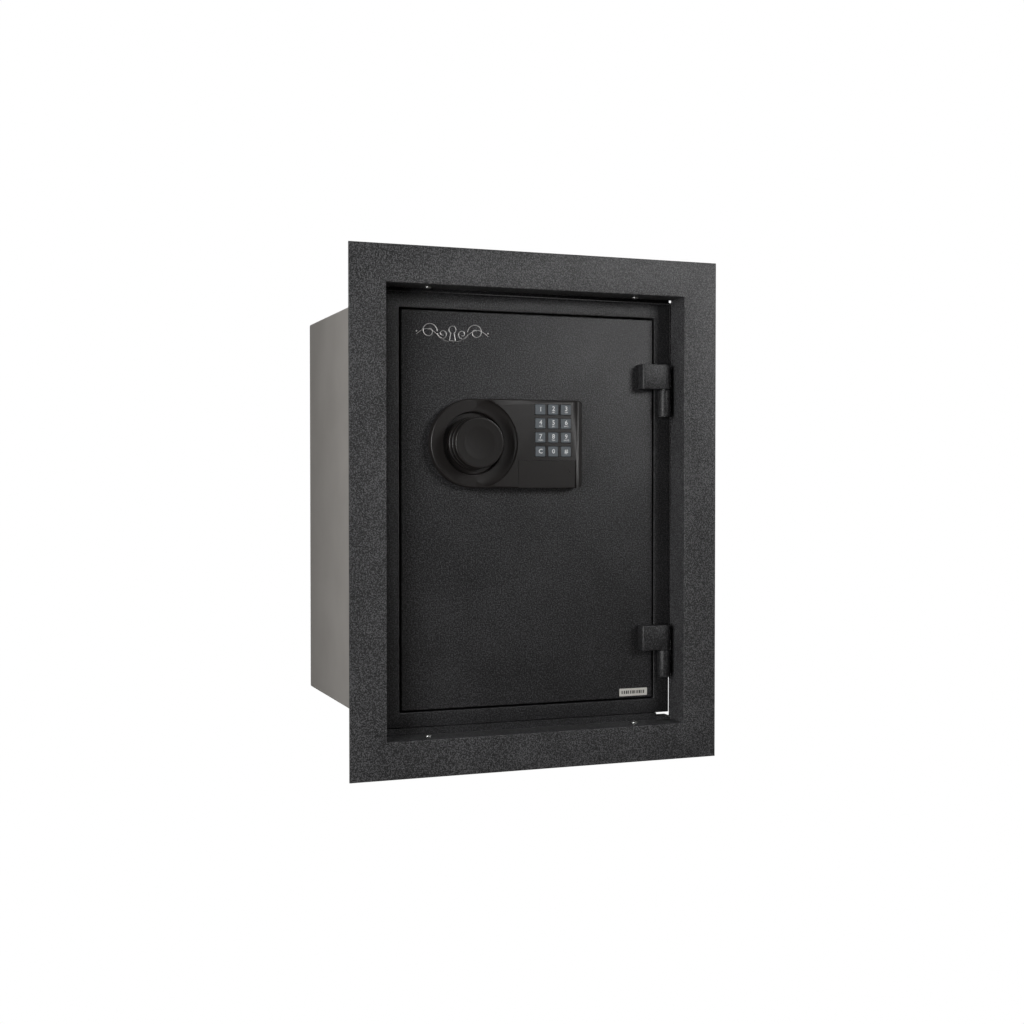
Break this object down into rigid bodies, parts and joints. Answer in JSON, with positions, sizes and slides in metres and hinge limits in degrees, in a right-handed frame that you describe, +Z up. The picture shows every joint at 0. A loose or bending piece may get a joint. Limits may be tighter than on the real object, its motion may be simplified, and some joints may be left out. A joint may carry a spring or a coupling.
{
  "type": "wall safe",
  "caption": "Wall safe: deep box body behind a wide trim flange, right-hinged door with keypad lock and turning knob that throws side bolts.",
  "frame": {"origin": "on the body's centre line, level with the middle of the trim flange's opening, in the plane of the flange's back face, which is the face of the wall", "axes": "+X to the right seen from the front, +Y into the wall, +Z up; the door faces -Y"},
  "size_m": [0.4064, 0.362, 0.5334],
  "materials": {
    "charcoal_powder": "textured powder coat, charcoal with a fine light speckle",
    "grey_primer": "smooth matt warm grey primer",
    "inner_grey": "smooth light grey enamel",
    "fire_board": "cast gypsum fire insulation",
    "black_plastic": "black satin moulded ABS",
    "key_rubber": "blue-grey moulded silicone",
    "zinc": "bright zinc plate",
    "bright_steel": "ground steel",
    "bronze": "sintered bronze",
    "seal_grey": "dark grey elastomer",
    "circuit_green": "green solder mask on glass-fibre board",
    "battery_wrap": "printed film over a steel can",
    "emblem_silver": "silver print",
    "label_white": "white printed film"
  },
  "bodies": {
    "safe_body": {"trim_flange": "charcoal_powder", "flange_screw_1": "zinc", "flange_screw_2": "zinc", "flange_screw_3": "zinc", "flange_screw_4": "zinc", "flange_collar": "charcoal_powder", "flange_bottom_bar": "charcoal_powder", "body_shell": "grey_primer", "door_frame": "charcoal_powder", "interior_liner": "inner_grey", "body_insulation": "fire_board", "door_seal": "seal_grey", "shelf": "inner_grey", "shelf_rail_left": "inner_grey", "shelf_rail_right": "inner_grey", "hinge_barrel_upper": "charcoal_powder", "hinge_barrel_lower": "charcoal_powder", "hinge_pin_upper": "bright_steel", "hinge_pin_lower": "bright_steel"},
    "door": {"door_plate": "charcoal_powder", "door_pan": "inner_grey", "door_insulation": "fire_board", "hinge_block_upper": "charcoal_powder", "hinge_block_lower": "charcoal_powder", "hinge_side_dead_bar": "bright_steel", "door_emblem": "emblem_silver", "door_label": "label_white", "lock_housing": "black_plastic", "battery_1": "battery_wrap", "battery_2": "battery_wrap", "spindle_bushing": "bronze", "key_mat": "seal_grey", "keypad_board": "circuit_green", "bolt_guide_1": "bright_steel", "bolt_guide_2": "bright_steel", "bolt_guide_3": "bright_steel", "solenoid": "zinc", "lock_cable": "seal_grey"},
    "knob": {"knob": "black_plastic", "spindle": "bright_steel", "bolt_cam": "bright_steel"},
    "bolt_carriage": {"bolt_carriage": "zinc", "locking_bolt_1": "bright_steel", "locking_bolt_2": "bright_steel", "locking_bolt_3": "bright_steel"},
    "solenoid_plunger": {"solenoid_plunger": "bright_steel"},
    "battery_cover": {"battery_cover": "black_plastic"},
    "key_1": {"key_1": "key_rubber"},
    "key_2": {"key_2": "key_rubber"},
    "key_3": {"key_3": "key_rubber"},
    "key_4": {"key_4": "key_rubber"},
    "key_5": {"key_5": "key_rubber"},
    "key_6": {"key_6": "key_rubber"},
    "key_7": {"key_7": "key_rubber"},
    "key_8": {"key_8": "key_rubber"},
    "key_9": {"key_9": "key_rubber"},
    "key_clear": {"key_clear": "key_rubber"},
    "key_0": {"key_0": "key_rubber"},
    "key_enter": {"key_enter": "key_rubber"}
  },
  "joints": [
    {"name": "door_swing", "type": "hinge", "parent": "safe_body", "child": "door", "pos_m": [0.1525, 0.0224, 0.0016], "axis": [0, 0, 1], "range_deg": [0, 98]},
    {"name": "knob_turn", "type": "hinge", "parent": "door", "child": "knob", "pos_m": [-0.0674, 0.02, 0.0706], "axis": [0, -1, 0], "range_deg": [0, 90]},
    {"name": "bolt_throw", "type": "slide", "parent": "door", "child": "bolt_carriage", "axis": [-1, 0, 0], "range_m": [0, 0.024]},
    {"name": "plunger_pull", "type": "slide", "parent": "door", "child": "solenoid_plunger", "axis": [0, 0, -1], "range_m": [0, 0.004], "stiffness_N_per_m": 200, "springref_m": -0.002},
    {"name": "battery_cover_slide", "type": "slide", "parent": "door", "child": "battery_cover", "axis": [0, 0, -1], "range_m": [0, 0.03]},
    {"name": "key_1_press", "type": "slide", "parent": "door", "child": "key_1", "axis": [0, 1, 0], "range_m": [0, 0.001], "stiffness_N_per_m": 800, "springref_m": -0.001},
    {"name": "key_2_press", "type": "slide", "parent": "door", "child": "key_2", "axis": [0, 1, 0], "range_m": [0, 0.001], "stiffness_N_per_m": 800, "springref_m": -0.001},
    {"name": "key_3_press", "type": "slide", "parent": "door", "child": "key_3", "axis": [0, 1, 0], "range_m": [0, 0.001], "stiffness_N_per_m": 800, "springref_m": -0.001},
    {"name": "key_4_press", "type": "slide", "parent": "door", "child": "key_4", "axis": [0, 1, 0], "range_m": [0, 0.001], "stiffness_N_per_m": 800, "springref_m": -0.001},
    {"name": "key_5_press", "type": "slide", "parent": "door", "child": "key_5", "axis": [0, 1, 0], "range_m": [0, 0.001], "stiffness_N_per_m": 800, "springref_m": -0.001},
    {"name": "key_6_press", "type": "slide", "parent": "door", "child": "key_6", "axis": [0, 1, 0], "range_m": [0, 0.001], "stiffness_N_per_m": 800, "springref_m": -0.001},
    {"name": "key_7_press", "type": "slide", "parent": "door", "child": "key_7", "axis": [0, 1, 0], "range_m": [0, 0.001], "stiffness_N_per_m": 800, "springref_m": -0.001},
    {"name": "key_8_press", "type": "slide", "parent": "door", "child": "key_8", "axis": [0, 1, 0], "range_m": [0, 0.001], "stiffness_N_per_m": 800, "springref_m": -0.001},
    {"name": "key_9_press", "type": "slide", "parent": "door", "child": "key_9", "axis": [0, 1, 0], "range_m": [0, 0.001], "stiffness_N_per_m": 800, "springref_m": -0.001},
    {"name": "key_clear_press", "type": "slide", "parent": "door", "child": "key_clear", "axis": [0, 1, 0], "range_m": [0, 0.001], "stiffness_N_per_m": 800, "springref_m": -0.001},
    {"name": "key_0_press", "type": "slide", "parent": "door", "child": "key_0", "axis": [0, 1, 0], "range_m": [0, 0.001], "stiffness_N_per_m": 800, "springref_m": -0.001},
    {"name": "key_enter_press", "type": "slide", "parent": "door", "child": "key_enter", "axis": [0, 1, 0], "range_m": [0, 0.001], "stiffness_N_per_m": 800, "springref_m": -0.001}
  ],
  "couplings": [
    {"joint": "knob_turn", "follows": "bolt_throw", "rad_per_m": 65.45}
  ]
}
